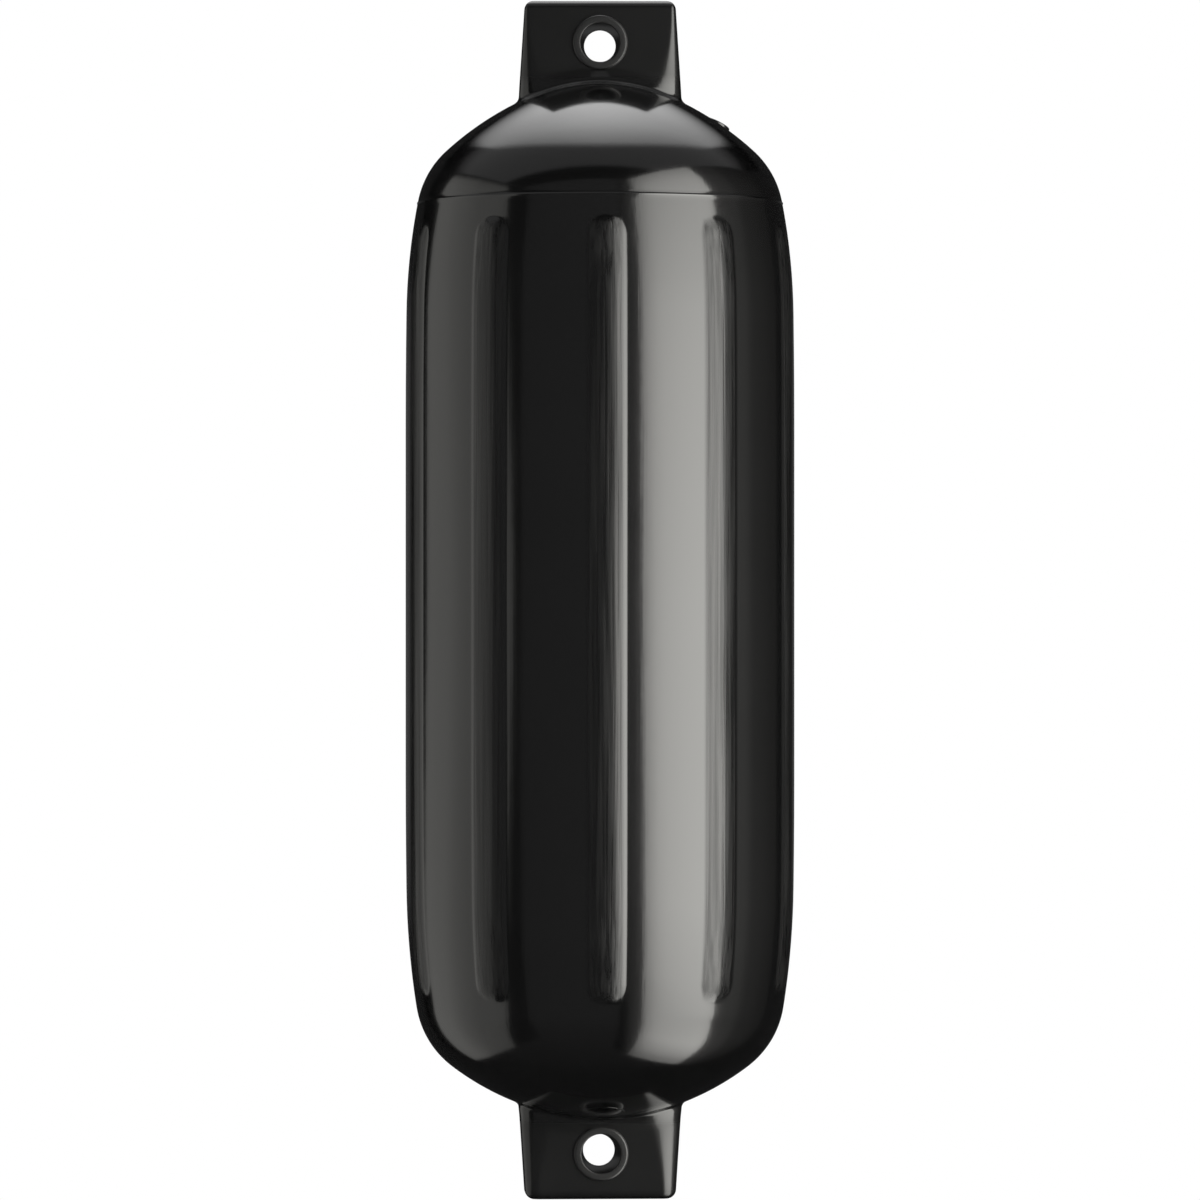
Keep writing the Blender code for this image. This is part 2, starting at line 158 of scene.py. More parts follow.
CROWN = {end: ARCS[end][4][1] + ARCS[end][4][2] for end in (1, -1)}
SIDE_END = {end: arc_point(ARCS[end][1], ARCS[end][1][4])[1] for end in (1, -1)}
RIM = {end: arc_point(ARCS[end][2], ARCS[end][2][4]) for end in (1, -1)}
EYE = {1: CROWN[1] + 0.0215, -1: CROWN[-1] + 0.0192}        # heights of the eyes' centres
TIP = {1: EYE[1] + 0.0244, -1: EYE[-1] + 0.0267}            # and of the lugs' flat ends
LIFT = -EYE[1]                             # heights are above the body's middle, and z is this much lower
print(f"crowns at {1000 * CROWN[1]:.1f} and {-1000 * CROWN[-1]:.1f} mm, middle at z {1000 * LIFT:.1f} mm")

# %% [markdown]
# ## The side of the bladder
#
# The side is round, so it starts as a circle at its lower shoulder and is drawn upwards: extrude a ring,
# scale it to the outline's radius, and repeat. The ten ribs will be raised out of this surface later, so
# the circle's points aren't spread evenly. They crowd at each rib's edge, where the surface turns
# quickly, and thin out between the ribs. The rings do the same at the ribs' ends. The set of ribs is
# turned 1.3 degrees from the front, because the mould wasn't lined up exactly with the lugs.

# %% Points round the body
RIB_COUNT = 10
RIB_TURN = math.radians(1.3)
PITCH = 2 * math.pi / RIB_COUNT
FROM_RIB = [x / 1000 for x in (0, 2.3, 4.6, 6.8, 8.6, 9.9, 10.7, 11.3, 11.7, 12.1, 12.7, 13.9,
                               16.5, 20.8, 25.6, 30.3)]           # the rib's edge is at 11.7 mm

angles = []
for k in range(RIB_COUNT):
    centre = RIB_TURN + (k + 0.5) * PITCH
    angles.append(centre - PITCH / 2)
    angles += [centre - d / BODY_RADIUS for d in reversed(FROM_RIB[1:])]
    angles += [centre + d / BODY_RADIUS for d in FROM_RIB]
COLUMNS = len(angles)
print(COLUMNS, "points round the body")

# %% Heights of the rings
RIB_TOP = SIDE_END[1] - 0.0130
RIB_BOTTOM = -SIDE_END[-1] + 0.0072
PARTING_LINE = SIDE_END[1] - 0.0012
BEAD_HEIGHT = 0.0004
BEAD_HALF_WIDTH = 0.0009


def spread(a, b, count):
    """Heights from a up to b, without b."""
    return [a + (b - a) * i / count for i in range(count)]


def shoulder_heights(end, count):
    arc = ARCS[end][2]
    return [end * arc_point(arc, arc[3] + (arc[4] - arc[3]) * i / count)[1] for i in range(count + 1)]


heights = shoulder_heights(-1, 22)[::-1]
heights += spread(-SIDE_END[-1], RIB_BOTTOM - 0.002, 5)[1:]
heights += spread(RIB_BOTTOM - 0.002, RIB_BOTTOM + 0.014, 27)
heights += spread(RIB_BOTTOM + 0.014, -0.165, 6)
heights += spread(-0.165, 0.165, 16)
heights += spread(0.165, RIB_TOP - 0.014, 5)
heights += spread(RIB_TOP - 0.014, RIB_TOP + 0.002, 27)
heights += spread(RIB_TOP + 0.002, PARTING_LINE - BEAD_HALF_WIDTH, 4)
heights += spread(PARTING_LINE - BEAD_HALF_WIDTH, PARTING_LINE + BEAD_HALF_WIDTH, 6)
heights += [PARTING_LINE + BEAD_HALF_WIDTH] + shoulder_heights(1, 22)[1:]
print(len(heights), "rings from shoulder to shoulder")


# %% Draw the side upwards
def deselect():
    if bpy.context.object and bpy.context.object.mode == "EDIT":
        bpy.ops.object.mode_set(mode="OBJECT")
    bpy.ops.object.select_all(action="DESELECT")


def extrude_to(rise, scale, height):
    """Extrude what is selected along Z, and scale it about the axis at its new height."""
    bpy.ops.mesh.extrude_region_move(TRANSFORM_OT_translate={"value": (0, 0, rise)})
    bpy.ops.transform.resize(value=(scale, scale, 1), center_override=(0, 0, height))


start = side_radius(heights[0])
deselect()
bpy.ops.mesh.primitive_circle_add(vertices=COLUMNS, radius=start, location=(0, 0, heights[0] + LIFT))
skin = bpy.context.object
skin.name = "fender_skin"
bpy.ops.object.transform_apply(location=True, rotation=False, scale=False)
bpy.ops.object.mode_set(mode="EDIT")
bm = bmesh.from_edit_mesh(skin.data)
column = bm.verts.layers.int.new("column")
in_turn = sorted(bm.verts, key=lambda v: math.atan2(v.co.y, v.co.x) % (2 * math.pi - 1e-5))
for v, angle in zip(in_turn, angles):
    v.co = (start * math.cos(angle), start * math.sin(angle), v.co.z)
    v[column] = angles.index(angle)
bmesh.update_edit_mesh(skin.data)
for below, above in zip(heights, heights[1:]):
    extrude_to(above - below, side_radius(above) / side_radius(below), above + LIFT)
print(len(skin.data.vertices), "vertices before the ends are made; rim radius",
      round(1000 * side_radius(heights[-1]), 1), "mm")

# %% [markdown]
# ## The domes and the eye lugs
#
# Each end carries a flat lug that grows out of the dome with a small hollow round at its foot. A modeller
# could join a block to a dome and bevel the joint, but the reflections on a black, shiny skin show every
# uneven facet there. So the same ring is drawn on instead: it is extruded, and each point of the new ring
# is set to its place. The ring changes from a circle to the lug's rounded rectangle as it runs over the
# dome, turns up through the hollow round, climbs the lug and rolls over onto its flat end.

# %% Sections of a lug
LUG_TIP = (0.0432, 0.0120)                 # half width and half thickness at the tip
LUG_FOOT = (0.0467, 0.0165)                # and at the foot
CORNERS = {1: ((0.0025, 0.004), (0.018, 0.010)),      # oval rounds of the upright edges, tip and foot
           -1: ((0.008, 0.007), (0.023, 0.011))}
CORNER_GROWTH = {1: 2.0, -1: 1.5}          # a higher power makes them grow later towards the foot
SMALLEST_CORNER = 0.0015
LUG_FOOT_DROP = 0.008
LUG_EDGE_ROUND = 0.0055
LUG_FILLET = 0.0032
LUG_TWIST = {1: 0.0, -1: math.radians(2.4)}


def lug_section(end, height, grow=0.0):
    """Half width, half thickness and both corner rounds of a lug at a height."""
    foot = CROWN[end] - LUG_FOOT_DROP
    s = min(max((TIP[end] - height) / (TIP[end] - foot), 0.0), 1.0)
    sides = [a + (b - a) * s ** power + grow for a, b, power in zip(LUG_TIP, LUG_FOOT, (1, 3))]
    corners = [a + (b - a) * s ** CORNER_GROWTH[end] + grow for a, b in zip(*CORNERS[end])]
    return sides + [max(corner, SMALLEST_CORNER) for corner in corners]


def rounded_outline(half_x, half_y, corner_x, corner_y, turn=0.0):
    """Points spaced evenly round a rectangle with oval corners, from its +X side and anticlockwise."""
    path = [Vector((half_x, 0))]
    for quarter, (sx, sy) in enumerate(((1, 1), (-1, 1), (-1, -1), (1, -1))):
        for a in ((quarter + i / 60) * math.pi / 2 for i in range(61)):
            path.append(Vector((sx * (half_x - corner_x) + corner_x * math.cos(a),
                                sy * (half_y - corner_y) + corner_y * math.sin(a))))
    path.append(path[0])
    lengths = [(b - a).length for a, b in zip(path, path[1:])]
    total, spin = sum(lengths), Matrix.Rotation(turn, 2)
    points, k, passed = [], 0, 0.0
    for i in range(COLUMNS):
        s = total * i / COLUMNS
        while s > passed + lengths[k]:
            passed += lengths[k]
            k += 1
        points.append(spin @ path[k].lerp(path[k + 1], (s - passed) / max(lengths[k], 1e-9)))
    return points


# %% Rings of an end
def end_rings(end):
    """Each ring as (x, y, height) for every column, from the shoulder's rim to the lug's flat end."""
    twist, tip = LUG_TWIST[end], TIP[end]
    foot = lug_section(end, 0.0)
    wall, flare = rounded_outline(*foot, twist), rounded_outline(*(x + LUG_FILLET for x in foot), twist)
    rim = [Vector((math.cos(a), math.sin(a))) * RIM[end][0] for a in angles]
    rings = []
    for i in range(1, 25):
        plan = [a.lerp(b, i / 24) for a, b in zip(rim, flare)]
        rings.append([(p.x, p.y, dome_height(end, p.length)) for p in plan])
    for t in (i / 8 for i in range(1, 9)):          # the hollow round: a curve from the dome to the wall
        ring = []
        for out, on in zip(flare, wall):
            low = Vector((*out, dome_height(end, out.length)))
            bend = Vector((*on, dome_height(end, on.length)))
            ring.append(tuple((1 - t) ** 2 * low + 2 * t * (1 - t) * bend
                              + t ** 2 * (bend + Vector((0, 0, LUG_FILLET)))))
        rings.append(ring)
    base = [p[2] for p in rings[-1]]
    for t in (i / 9 for i in range(1, 10)):         # the wall, narrower towards the tip
        at = [z + (tip - LUG_EDGE_ROUND - z) * t for z in base]
        outlines = {round(z, 6): None for z in at}
        for z in outlines:
            outlines[z] = rounded_outline(*lug_section(end, z), twist)
        rings.append([(*outlines[round(z, 6)][i], z) for i, z in enumerate(at)])
    for turn in (math.radians(90 * i / 7) for i in range(1, 8)):   # the round edge of the flat end
        inset = LUG_EDGE_ROUND * (1 - math.cos(turn))
        z = tip - LUG_EDGE_ROUND * (1 - math.sin(turn))
        outline = rounded_outline(*lug_section(end, tip - LUG_EDGE_ROUND, -inset), twist)
        rings.append([(p.x, p.y, z) for p in outline])
    return rings


# %% Draw both ends
def draw_end(end):
    bpy.ops.mesh.select_all(action="DESELECT")
    bpy.ops.mesh.select_mode(type="EDGE")
    bm = bmesh.from_edit_mesh(skin.data)
    for e in bm.edges:
        if len(e.link_faces) == 1 and (e.verts[0].co.z - LIFT) * end > 0:
            e.select_set(True)
    bmesh.update_edit_mesh(skin.data)
    for ring in end_rings(end):
        bpy.ops.mesh.extrude_edges_move(TRANSFORM_OT_translate={"value": (0, 0, end * 0.0001)})
        bm = bmesh.from_edit_mesh(skin.data)
        bm.verts.ensure_lookup_table()
        column = bm.verts.layers.int["column"]
        for v in bm.verts[-COLUMNS:]:
            x, y, h = ring[v[column]]
            v.co = (x, y, end * h + LIFT)
        bmesh.update_edit_mesh(skin.data)
    bpy.ops.mesh.edge_face_add()
    bpy.ops.mesh.select_mode(type="FACE")
    bpy.ops.mesh.inset(thickness=0.0008)


for end in (1, -1):
    draw_end(end)
bpy.ops.mesh.select_all(action="SELECT")
bpy.ops.mesh.normals_make_consistent(inside=False)
bpy.ops.object.mode_set(mode="OBJECT")


def open_edges(obj):
    bm = bmesh.new()
    bm.from_mesh(obj.data)
    count = sum(1 for e in bm.edges if len(e.link_faces) != 2)
    bm.free()
    return count


print(len(skin.data.polygons), "faces in the closed skin, open edges:", open_edges(skin))

# %% [markdown]
# ## The ribs and the parting bead
#
# The mould raises ten shallow bars out of the side. Each is the top of a round rod sunk in the wall, with
# round ends and a tight corner where it meets the side. A Displace modifier lifts the skin along its own
# normals, as far as a vertex group's weight says, so the bars follow the barrelled side by themselves.
# The weight is the rod's height above the wall at a distance from the rib's centre line.

# %% Raise the ribs
RIB_WIDTH = 0.0234
RIB_HEIGHT = 0.0020
RIB_FOOT_SOFTNESS = 0.00018

bow = BODY_RADIUS - math.sqrt(BODY_RADIUS ** 2 - (RIB_WIDTH / 2) ** 2)
rod_radius = ((RIB_WIDTH / 2) ** 2 + (RIB_HEIGHT + bow) ** 2) / (2 * (RIB_HEIGHT + bow))
rod_centre = BODY_RADIUS + RIB_HEIGHT - rod_radius


def rib_rise(across):
    """Height of a rib above the wall at a distance from its centre line, or from its end's centre."""
    a = min(across, 0.02) / BODY_RADIUS
    from_axis = rod_centre * math.cos(a) + math.sqrt(rod_radius ** 2 - (rod_centre * math.sin(a)) ** 2)
    rise = from_axis - BODY_RADIUS
    return 0.5 * (rise + math.hypot(rise, RIB_FOOT_SOFTNESS)) if across < 0.0142 else 0.0


def displace(obj, name, weights, strength):
    """Lift a mesh along its normals by weights from 0 to 1 times a strength in metres."""
    group = obj.vertex_groups.new(name=name)
    for index, weight in weights:
        group.add([index], weight, "REPLACE")
    lift = obj.modifiers.new(name, "DISPLACE")
    lift.vertex_group, lift.strength, lift.mid_level = name, strength, 0.0
    deselect()
    bpy.context.view_layer.objects.active = obj
    obj.select_set(True)
    bpy.ops.object.modifier_apply(modifier=name)


weights = []
for v in skin.data.vertices:
    height = v.co.z - LIFT
    if RIB_BOTTOM - 0.004 < height < RIB_TOP + 0.004:
        a = (math.atan2(v.co.y, v.co.x) - RIB_TURN) % PITCH - PITCH / 2
        beyond = max(height - (RIB_TOP - RIB_WIDTH / 2), RIB_BOTTOM + RIB_WIDTH / 2 - height, 0.0)
        rise = rib_rise(math.hypot(a * BODY_RADIUS, beyond))
        if rise > 1e-6:
            weights.append((v.index, min(rise / RIB_HEIGHT, 1.0)))
displace(skin, "ribs", weights, RIB_HEIGHT)
print(f"{RIB_COUNT} ribs of {1000 * RIB_WIDTH:.1f} mm, rod radius {1000 * rod_radius:.1f} mm")

# %% Raise the parting bead
weights = []
for v in skin.data.vertices:
    off = abs(v.co.z - LIFT - PARTING_LINE) / BEAD_HALF_WIDTH
    if off < 0.99:
        weights.append((v.index, 0.5 + 0.5 * math.cos(math.pi * off)))
displace(skin, "bead", weights, BEAD_HEIGHT)
print("parting bead at height", round(1000 * PARTING_LINE, 1), "mm above the middle")

# %% [markdown]
# ## The eyes
#
# A raised collar stands on both faces of each lug, round a hole that narrows from the front to the back,
# as the mould's pin drew out towards the front. The collar is made as one round solid through the lug: a
# circle is extruded along the eye's axis, ring by ring. A Boolean then joins it to the skin, and another
# cuts the hole. Booleans need solids that are closed and don't cross themselves, so the number of open
# edges is printed after them and should stay at 0.

# %% A helper for round solids
def round_solid(name, rings, place, vertices=96):
    """A solid turned about Z from (radius, height) rings, then put in its place."""
    deselect()
    bpy.ops.mesh.primitive_circle_add(vertices=vertices, radius=rings[0][0], fill_type="NGON",
                                      location=(0, 0, rings[0][1]))
    obj = bpy.context.object
    obj.name = name
    bpy.ops.object.transform_apply(location=True, rotation=False, scale=False)
    bpy.ops.object.mode_set(mode="EDIT")
    for (r0, h0), (r1, h1) in zip(rings, rings[1:]):
        extrude_to(h1 - h0, r1 / r0, h1)
    bpy.ops.mesh.select_all(action="SELECT")
    bpy.ops.mesh.normals_make_consistent(inside=False)
    bpy.ops.object.mode_set(mode="OBJECT")
    obj.data.transform(place)
    return obj


def combine(obj, other, operation):
    """Join or cut one solid with another, which is then deleted."""
    mod = obj.modifiers.new("combine", "BOOLEAN")
    mod.operation, mod.object, mod.solver = operation, other, "EXACT"
    deselect()
    bpy.context.view_layer.objects.active = obj
    obj.select_set(True)
    bpy.ops.object.modifier_apply(modifier="combine")
    bpy.data.objects.remove(other, do_unlink=True)


# %% Sizes of an eye
COLLAR_RADIUS = 0.0158
COLLAR_FACE = LUG_TIP[1] + 0.0032          # distance of the collar's face from the lug's middle plane
COLLAR_ROUND = 0.0016
FRONT_RADIUS = 0.0112
BACK_RADIUS = 0.0091
MOUTH_ROUND = 0.0008


def eye_place(end):
    """The eye's centre, with Z along the hole towards the front."""
    return (Matrix.Translation((0, 0, LIFT + end * EYE[end]))
            @ Matrix.Rotation(LUG_TWIST[end], 4, "Z") @ Matrix.Rotation(math.pi / 2, 4, "X"))


# %% Collars
edge = [(COLLAR_RADIUS - COLLAR_ROUND * (1 - math.sin(a)), COLLAR_FACE - COLLAR_ROUND * (1 - math.cos(a)))
        for a in (math.radians(15 * i) for i in range(7))]
collar_rings = [(0.004, COLLAR_FACE), (0.0125, COLLAR_FACE)] + edge + [(COLLAR_RADIUS, 0.008)]
collar_rings += [(r, -y) for r, y in reversed(collar_rings)]
for end in (1, -1):
    combine(skin, round_solid(f"collar {end}", collar_rings, eye_place(end), 128), "UNION")
print("collars joined, faces:", len(skin.data.polygons), "open edges:", open_edges(skin))

# %% Holes
def mouth(radius):
    """A hole's rounded mouth, from inside the hole outwards, with heights from the collar's face."""
    bend = [(radius + MOUTH_ROUND * (1 - math.cos(a)), -MOUTH_ROUND * (1 - math.sin(a)))
            for a in (math.radians(15 * i) for i in range(6))]
    out = radius + 1.22 * MOUTH_ROUND
    return bend + [(out, 0.095 * MOUTH_ROUND), (out, 0.003)]


hole_rings = [(r, -COLLAR_FACE - h) for r, h in reversed(mouth(BACK_RADIUS))]
hole_rings += [(r, COLLAR_FACE + h) for r, h in mouth(FRONT_RADIUS)]
for end in (1, -1):
    combine(skin, round_solid(f"hole {end}", hole_rings, eye_place(end), 121), "DIFFERENCE")
print(f"eyes cut, {2000 * FRONT_RADIUS:.1f} mm wide in front and {2000 * BACK_RADIUS:.1f} mm behind;",
      "open edges:", open_edges(skin))

# %% [markdown]
# ## The moulding mark and the valve's boss
#
# A plain round mark stands a fraction of a millimetre proud on the front of the lower dome, and its face
# is domed like the dome under it. On the top dome, behind the right-hand side, a low boss carries the
# valve. Both are round solids set square to the dome and joined to the skin, and the boss is cut out for
# the valve's head and stem.

# %% Mark
MARK_RADIUS, MARK_FROM_AXIS, MARK_STAND = 0.0125, 0.0375, 0.0002
MARK_EDGE_ROUND, MARK_DEPTH = 0.0006, 0.0047


def on_dome(end, from_axis, turn, tilt, stand):
    """A place on a dome, lifted by a stand, with Z leaning outwards by a tilt."""
    return (Matrix.Translation((0, 0, LIFT)) @ Matrix.Rotation(turn, 4, "Z")
            @ Matrix.Translation((from_axis, 0, end * dome_height(end, from_axis)))
            @ Matrix.Rotation(tilt if end > 0 else math.pi - tilt, 4, "Y")
            @ Matrix.Translation((0, 0, stand)))


def edge_rings(radius, chamfer, depth, doming=0.0):
    """Rings of a disc with a rounded upper edge. Its face is flat, or domed to a radius of 1 / doming."""
    flat = radius - chamfer
    face = [(flat * t, 0) for t in ((0.2, 0.4, 0.6, 0.8) if doming else (0.3,))]
    edge = [(flat + chamfer * math.sin(a), -chamfer * (1 - math.cos(a)))
            for a in (math.radians(18 * i) for i in range(6))]
    return [(r, h - r * r * doming / 2) for r, h in face + edge + [(radius, -depth)]]


BOTTOM_DOME_RADIUS = ARCS[-1][3][2]
mark_rings = edge_rings(MARK_RADIUS, MARK_EDGE_ROUND, MARK_DEPTH, doming=1 / BOTTOM_DOME_RADIUS)
mark_tilt = dome_tilt(-1, MARK_FROM_AXIS)
mark_place = on_dome(-1, MARK_FROM_AXIS, LUG_TWIST[-1] - math.pi / 2, mark_tilt, MARK_STAND)
combine(skin, round_solid("mark", mark_rings, mark_place), "UNION")
print(f"mark joined, leaning {math.degrees(mark_tilt):.1f} degrees, open edges: {open_edges(skin)}")

# %% Boss and the valve's seat
VALVE_RADIUS, VALVE_BEHIND, VALVE_TILT = 0.0689, math.radians(14.0), math.radians(27.0)
BOSS_RADIUS, BOSS_STAND, BOSS_DEPTH, BOSS_EDGE_ROUND = 0.0080, 0.0024, 0.010, 0.0007
HEAD_RADIUS, HEAD_THICK, HEAD_PROUD = 0.0050, 0.0016, 0.0005
STEM_RADIUS, STEM_LENGTH, CLEARANCE = 0.0032, 0.0060, 0.0003

valve_place = on_dome(1, VALVE_RADIUS, VALVE_BEHIND, VALVE_TILT, BOSS_STAND)
combine(skin, round_solid("boss", edge_rings(BOSS_RADIUS, BOSS_EDGE_ROUND, BOSS_DEPTH), valve_place), "UNION")
under, tip = HEAD_PROUD - HEAD_THICK, HEAD_PROUD - HEAD_THICK - STEM_LENGTH
seat = [(HEAD_RADIUS + CLEARANCE, 0.003), (HEAD_RADIUS + CLEARANCE, under - CLEARANCE),
        (STEM_RADIUS + CLEARANCE, under - CLEARANCE), (STEM_RADIUS + CLEARANCE, tip - CLEARANCE)]
combine(skin, round_solid("seat", seat, valve_place, 83), "DIFFERENCE")
print("boss joined and its seat cut, open edges:", open_edges(skin))

# %% Finish the skin
deselect()
bpy.context.view_layer.objects.active = skin
skin.select_set(True)
bpy.ops.object.shade_smooth_by_angle(angle=math.radians(28))
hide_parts("fender_body")
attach(skin, "root")
skin.data.calc_loop_triangles()
print("skin:", len(skin.data.loop_triangles), "triangles")

# %% [markdown]
# ## The inflation valve
#
# The valve is a soft rubber plug with a flat head, a stem and a fine hole for the pump's needle. It is
# turned as one solid whose outline goes down into the needle's hole at the end.

# %% Valve
NEEDLE_HOLE_RADIUS, NEEDLE_HOLE_DEPTH = 0.0008, 0.0040
STEM_CHAMFER = 0.0008
valve_rings = [(NEEDLE_HOLE_RADIUS, tip), (STEM_RADIUS - STEM_CHAMFER, tip),
               (STEM_RADIUS, tip + STEM_CHAMFER), (STEM_RADIUS, under),
               (HEAD_RADIUS, under), (HEAD_RADIUS, HEAD_PROUD - 0.0005),
               (HEAD_RADIUS - 0.00015, HEAD_PROUD - 0.0002), (HEAD_RADIUS - 0.0005, HEAD_PROUD),
               (0.0016, HEAD_PROUD), (0.0012, HEAD_PROUD - 0.0001),
               (NEEDLE_HOLE_RADIUS, HEAD_PROUD - 0.0006),
               (NEEDLE_HOLE_RADIUS, HEAD_PROUD - NEEDLE_HOLE_DEPTH)]
valve = round_solid("needle_valve", valve_rings, valve_place, 64)
deselect()
bpy.context.view_layer.objects.active = valve
valve.select_set(True)
bpy.ops.object.shade_smooth_by_angle(angle=math.radians(40))
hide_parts("inflation_valve")
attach(valve, "root")
print("valve:", len(valve.data.polygons), "faces, open edges:", open_edges(valve))

# %% [markdown]
# ## The finishes
#
# Colours are written as hex values, as a colour picker shows them, and one function turns them into the
# linear values that the shader needs. One more function adds a node, sets it up and links it.


# %% Helpers for materials
def colour(code):
    """A hex colour as linear red, green, blue and alpha."""
    parts = [int(code[i:i + 2], 16) / 255 for i in (1, 3, 5)]
    return (*(c / 12.92 if c <= 0.04045 else ((c + 0.055) / 1.055) ** 2.4 for c in parts), 1.0)


def node(tree, kind, inputs=None, **settings):
    """Add a node. An input is a plain value, or an output socket of another node to link."""
    made = tree.nodes.new(kind)
    for key, value in settings.items():
        setattr(made, key, value)
    for key, value in (inputs or {}).items():
        if isinstance(value, bpy.types.NodeSocket):
            tree.links.new(value, made.inputs[key])
        else:
            made.inputs[key].default_value = value
    return made


def new_material(name):
    """An empty material and its node tree, with all nodes cleared."""
    material = bpy.data.materials.new(name)
    material.use_nodes = True
    material.node_tree.nodes.clear()
    return material, material.node_tree


# %% [markdown]
# ### Moulded vinyl
#
# The bladder is plasticised PVC, black all through, that copies a polished mould. That gives the eye a
# deep black, clear reflections with slightly soft edges, and a faint unevenness like orange peel about
# 8 mm across. The tops of the ribs rub against hulls, and show fine upright streaks that blur the
# reflections sideways. The streaks are about half a millimetre wide on the real fender, and are drawn at
# 1.7 mm so that they show. The skin's clear top layer is a coat. The ribs, the lugs and most of all the
# collars' faces are worn: there the coat is thin, and the vinyl under it is rougher. The collars' faces
# are also painted a lighter grey, partly for their wear and partly as a painted sheen.

# %% Where the ribs' tops are
RIB_MASK_INSET, RIB_MASK_FULL = 0.0008, 0.0029     # from the rib's edge: where the mask starts, and is full
RIB_MASK_ENDS = (0.001, 0.006)                     # the same, from the rib's ends

vinyl, tree = new_material("glossy moulded black PVC")
place = node(tree, "ShaderNodeTexCoord").outputs["Object"]
xyz = node(tree, "ShaderNodeSeparateXYZ", {0: place})
angle = node(tree, "ShaderNodeMath", {0: xyz.outputs["Y"], 1: xyz.outputs["X"]}, operation="ARCTAN2")
from_rib = node(tree, "ShaderNodeMath", {0: angle.outputs[0], 1: RIB_TURN}, operation="SUBTRACT")
turned = node(tree, "ShaderNodeMath", {0: from_rib.outputs[0], 1: PITCH}, operation="FLOORED_MODULO")
centred = node(tree, "ShaderNodeMath", {0: turned.outputs[0], 1: PITCH / 2}, operation="SUBTRACT")
off = node(tree, "ShaderNodeMath", {0: centred.outputs[0]}, operation="ABSOLUTE")
on_rib = node(tree, "ShaderNodeMapRange", {"Value": off.outputs[0],
                                          "From Min": (RIB_WIDTH / 2 - RIB_MASK_INSET) / BODY_RADIUS,
                                          "From Max": (RIB_WIDTH / 2 - RIB_MASK_FULL) / BODY_RADIUS})
top = node(tree, "ShaderNodeMapRange", {"Value": xyz.outputs["Z"],
                                       "From Min": RIB_TOP + LIFT - RIB_MASK_ENDS[0],
                                       "From Max": RIB_TOP + LIFT - RIB_MASK_ENDS[1]})
bottom = node(tree, "ShaderNodeMapRange", {"Value": xyz.outputs["Z"],
                                          "From Min": RIB_BOTTOM + LIFT + RIB_MASK_ENDS[0],
                                          "From Max": RIB_BOTTOM + LIFT + RIB_MASK_ENDS[1]})
both = node(tree, "ShaderNodeMath", {0: top.outputs[0], 1: bottom.outputs[0]}, operation="MULTIPLY")
rib_mask = node(tree, "ShaderNodeMath", {0: on_rib.outputs[0], 1: both.outputs[0]}, operation="MULTIPLY")
print("the rib mask reads the angle round Z, and fades near the ribs' edges and ends")

# %% Where the lugs are: beyond the crowns
LUG_MASK_FADE = 0.003
height = node(tree, "ShaderNodeMath", {0: xyz.outputs["Z"], 1: LIFT}, operation="SUBTRACT")
upper = node(tree, "ShaderNodeMapRange", {"Value": height.outputs[0], "From Min": CROWN[1] - LUG_MASK_FADE,
                                         "From Max": CROWN[1] + LUG_MASK_FADE})
lower = node(tree, "ShaderNodeMapRange", {"Value": height.outputs[0], "From Min": -CROWN[-1] + LUG_MASK_FADE,
                                         "From Max": -CROWN[-1] - LUG_MASK_FADE})
on_lug = node(tree, "ShaderNodeMath", {0: upper.outputs[0], 1: lower.outputs[0]}, operation="ADD")
print(f"the lug mask is half way at {1000 * CROWN[1]:.1f} and {-1000 * CROWN[-1]:.1f} mm from the middle")

# %% Where the collars' faces are: near an eye's axis, and further out than the lug's own face
depth = node(tree, "ShaderNodeMath", {0: xyz.outputs["Y"]}, operation="ABSOLUTE")
proud = node(tree, "ShaderNodeMapRange", {"Value": depth.outputs[0], "From Min": COLLAR_FACE - 0.0012,
                                         "From Max": COLLAR_FACE - 0.0008})
near_eye = 0.0
for end in (1, -1):
    flat = node(tree, "ShaderNodeMapping", {0: place, "Location": (0, 0, -LIFT - end * EYE[end]),
                                           "Scale": (1, 0, 1)})
    away = node(tree, "ShaderNodeVectorMath", {0: flat.outputs[0]}, operation="LENGTH")
    near = node(tree, "ShaderNodeMapRange", {"Value": away.outputs["Value"], "From Min": COLLAR_RADIUS,
                                            "From Max": COLLAR_RADIUS - 0.0008})
    near_eye = node(tree, "ShaderNodeMath", {0: near.outputs[0], 1: near_eye}, operation="MAXIMUM").outputs[0]
on_collar = node(tree, "ShaderNodeMath", {0: near_eye, 1: proud.outputs[0]}, operation="MULTIPLY")
print("the collar mask is round, 2 x", round(1000 * COLLAR_RADIUS, 1), "mm")

# %% How worn each place is, from 0 to 1
WEAR_RIB, WEAR_LUG = 0.75, 0.5             # and 1 on the collars
worn_rib = node(tree, "ShaderNodeMath", {0: rib_mask.outputs[0], 1: WEAR_RIB}, operation="MULTIPLY")
worn_lug = node(tree, "ShaderNodeMath", {0: on_lug.outputs[0], 1: WEAR_LUG}, operation="MULTIPLY")
worn = node(tree, "ShaderNodeMath", {0: worn_rib.outputs[0], 1: worn_lug.outputs[0]}, operation="MAXIMUM")
worn = node(tree, "ShaderNodeMath", {0: worn.outputs[0], 1: on_collar.outputs[0]}, operation="MAXIMUM")
print("wear: ribs", WEAR_RIB, "lugs", WEAR_LUG, "collars 1")

